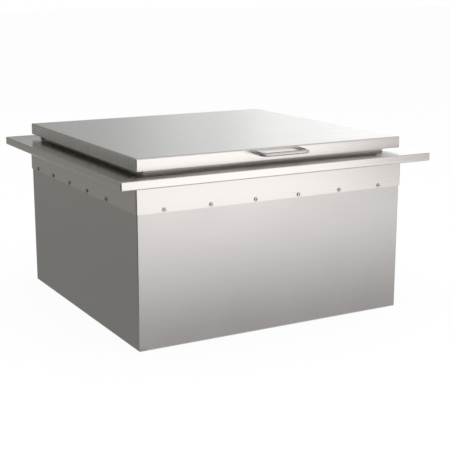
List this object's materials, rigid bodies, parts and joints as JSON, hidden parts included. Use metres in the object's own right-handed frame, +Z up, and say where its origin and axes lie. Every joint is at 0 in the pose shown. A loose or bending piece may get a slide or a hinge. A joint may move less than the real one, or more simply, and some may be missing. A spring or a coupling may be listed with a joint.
{
  "type": "drop-in refreshment center",
  "caption": "Drop-in insulated stainless ice bin with counter flange, hinged flat lid with bar handle, sliding condiment tray, false floor and plugged bottom drain.",
  "frame": {"origin": "centre of the base, on the plane it stands on", "axes": "+Z up, +X to the right seen from the front, front (handle side) towards -Y, hinge at +Y"},
  "size_m": [0.7086, 0.6666, 0.3737],
  "materials": {
    "brushed_sheet": "satin",
    "body_sheet": "satin",
    "liner_sheet": "satin",
    "polished_bar": "polished",
    "fastener_steel": "satin",
    "black_rubber": "matte",
    "foam_board": "matte",
    "pan_plastic": "satin"
  },
  "bodies": {
    "cabinet": {"outer_box": "body_sheet", "skirt_band": "brushed_sheet", "skirt_screws": "fastener_steel", "counter_flange": "brushed_sheet", "ice_bin_liner": "liner_sheet", "foam_front": "foam_board", "foam_rear": "foam_board", "foam_left": "foam_board", "foam_right": "foam_board", "foam_floor": "foam_board", "hinge_fixed_leaf": "fastener_steel", "hinge_pin": "fastener_steel", "hinge_flange_rivets": "fastener_steel", "drain_body": "polished_bar", "drain_gasket": "black_rubber", "drain_locknut": "polished_bar", "drain_strainer": "polished_bar", "drain_grommet": "black_rubber", "false_floor": "liner_sheet", "tray_rail_front": "liner_sheet", "tray_rail_rear": "liner_sheet"},
    "lid": {"lid_skin": "brushed_sheet", "lid_liner": "liner_sheet", "lid_foam": "foam_board", "lid_gasket": "black_rubber", "lid_handle": "polished_bar", "handle_screws": "fastener_steel", "hinge_moving_leaf": "fastener_steel", "hinge_lid_rivets": "fastener_steel"},
    "tray": {"condiment_tray": "liner_sheet", "condiment_pan_1": "pan_plastic", "condiment_pan_2": "pan_plastic", "condiment_pan_3": "pan_plastic"},
    "plug": {"drain_plug": "black_rubber", "plug_pull": "polished_bar"}
  },
  "joints": [
    {"name": "lid_hinge", "type": "hinge", "parent": "cabinet", "child": "lid", "pos_m": [0, 0.2963, 0.3455], "axis": [-1, 0, 0], "range_deg": [0, 100]},
    {"name": "tray_slide", "type": "slide", "parent": "cabinet", "child": "tray", "axis": [1, 0, 0], "range_m": [0, 0.292]},
    {"name": "plug_lift", "type": "slide", "parent": "cabinet", "child": "plug", "axis": [0, 0, 1], "range_m": [0, 0.06]}
  ]
}
